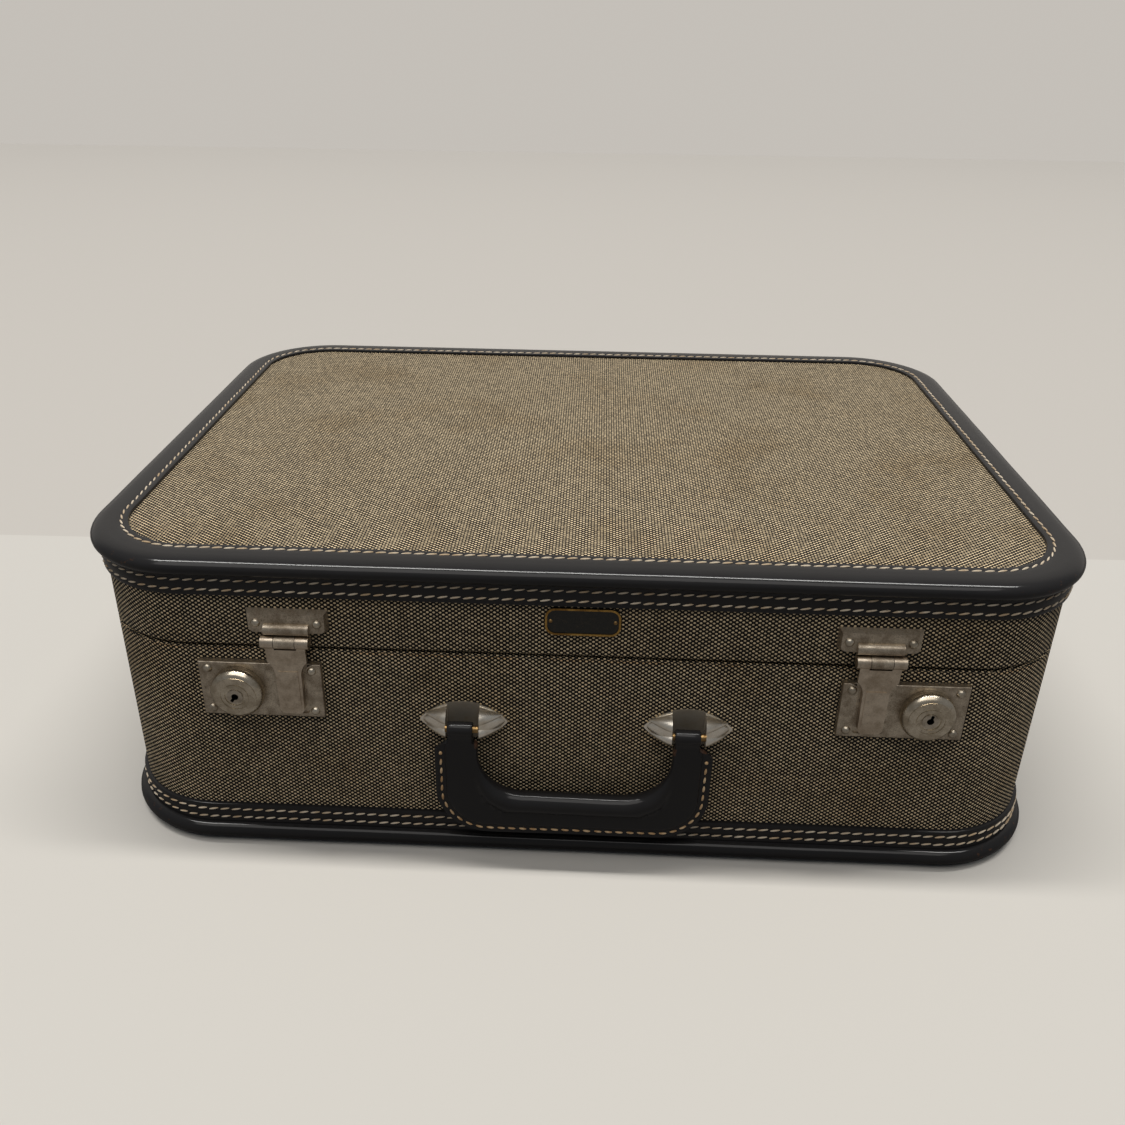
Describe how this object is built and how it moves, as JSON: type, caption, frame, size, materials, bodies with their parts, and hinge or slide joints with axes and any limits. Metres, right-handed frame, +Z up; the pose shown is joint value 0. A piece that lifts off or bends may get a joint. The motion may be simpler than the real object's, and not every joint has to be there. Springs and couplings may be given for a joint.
{
  "type": "suitcase",
  "caption": "Hard-sided cloth-covered suitcase with leather bindings, stop-hinged lid, sliding-knob key locks with hinged hasps and a swinging leather handle.",
  "frame": {"origin": "middle of the whole object's footprint, on the surface that the closed case stands on", "axes": "+X along the case's width, to the right when facing its handle; -Y towards the handle; +Z up, from the base to the lid"},
  "size_m": [0.547, 0.411, 0.1866],
  "materials": {
    "plywood": "plain",
    "cloth": "woven, cream dots on dark brown",
    "lining_cloth": "plain weave",
    "binding_leather": "polished, worn at the edges",
    "handle_leather": "polished",
    "aged_nickel": "plated, dull and tarnished",
    "brass": "worn",
    "emblem_enamel": "gloss enamel field in a bare rim",
    "tongue_metal": "dull",
    "bolt_steel": "plain",
    "backing_steel": "plain"
  },
  "bodies": {
    "base": {"base_shell": "plywood", "base_cover": "cloth", "base_binding": "binding_leather", "base_tongue": "tongue_metal", "base_lining": "lining_cloth", "handle_backing": "backing_steel", "handle_cap_left": "aged_nickel", "handle_cap_right": "aged_nickel", "handle_pin_left": "brass", "handle_pin_right": "brass", "lock_case_left": "aged_nickel", "lock_case_right": "aged_nickel", "lock_rivets_left": "aged_nickel", "lock_rivets_right": "aged_nickel", "bolt_spring_left": "bolt_steel", "bolt_spring_right": "bolt_steel", "hinge_base_leaf_left": "aged_nickel", "hinge_base_leaf_right": "aged_nickel", "hinge_base_rivets": "aged_nickel", "hinge_pin_left": "aged_nickel", "hinge_pin_right": "aged_nickel"},
    "lid": {"lid_shell": "plywood", "lid_cover": "cloth", "lid_binding": "binding_leather", "lid_lining": "lining_cloth", "emblem_plate": "emblem_enamel", "emblem_pins": "brass", "hasp_plate_left": "aged_nickel", "hasp_plate_right": "aged_nickel", "hasp_plate_rivets_left": "aged_nickel", "hasp_plate_rivets_right": "aged_nickel", "hasp_pin_left": "aged_nickel", "hasp_pin_right": "aged_nickel", "hinge_lid_leaf_left": "aged_nickel", "hinge_lid_leaf_right": "aged_nickel", "hinge_lid_rivets": "aged_nickel"},
    "handle": {"handle": "handle_leather", "handle_core": "plywood"},
    "hasp_left": {"hasp_left": "aged_nickel"},
    "hasp_right": {"hasp_right": "aged_nickel"},
    "knob_left": {"lock_knob_left": "aged_nickel", "lock_bolt_left": "bolt_steel"},
    "knob_right": {"lock_knob_right": "aged_nickel", "lock_bolt_right": "bolt_steel"},
    "key_plug_left": {"key_plug_left": "aged_nickel"},
    "key_plug_right": {"key_plug_right": "aged_nickel"}
  },
  "joints": [
    {"name": "lid_hinge", "type": "hinge", "parent": "base", "child": "lid", "pos_m": [0, 0.2019, 0.1327], "axis": [-1, 0, 0], "range_deg": [0, 100]},
    {"name": "handle_swing", "type": "hinge", "parent": "base", "child": "handle", "pos_m": [0.0005, -0.1991, 0.0912], "axis": [-1, 0, 0], "range_deg": [-4, 175]},
    {"name": "hasp_left_hinge", "type": "hinge", "parent": "lid", "child": "hasp_left", "pos_m": [-0.1542, -0.1934, 0.1392], "axis": [-1, 0, 0], "range_deg": [0, 120]},
    {"name": "hasp_right_hinge", "type": "hinge", "parent": "lid", "child": "hasp_right", "pos_m": [0.1582, -0.1934, 0.1392], "axis": [-1, 0, 0], "range_deg": [0, 120]},
    {"name": "knob_left_slide", "type": "slide", "parent": "base", "child": "knob_left", "axis": [-1, 0, 0], "range_m": [0, 0.004], "stiffness_N_per_m": 150, "springref_m": -0.003, "deforming": ["bolt_spring_left"]},
    {"name": "knob_right_slide", "type": "slide", "parent": "base", "child": "knob_right", "axis": [1, 0, 0], "range_m": [0, 0.004], "stiffness_N_per_m": 150, "springref_m": -0.003, "deforming": ["bolt_spring_right"]},
    {"name": "key_plug_left_turn", "type": "hinge", "parent": "knob_left", "child": "key_plug_left", "pos_m": [-0.1831, -0.1998, 0.1075], "axis": [0, -1, 0], "range_deg": [0, 90]},
    {"name": "key_plug_right_turn", "type": "hinge", "parent": "knob_right", "child": "key_plug_right", "pos_m": [0.1871, -0.1998, 0.1075], "axis": [0, -1, 0], "range_deg": [0, 90]}
  ]
}
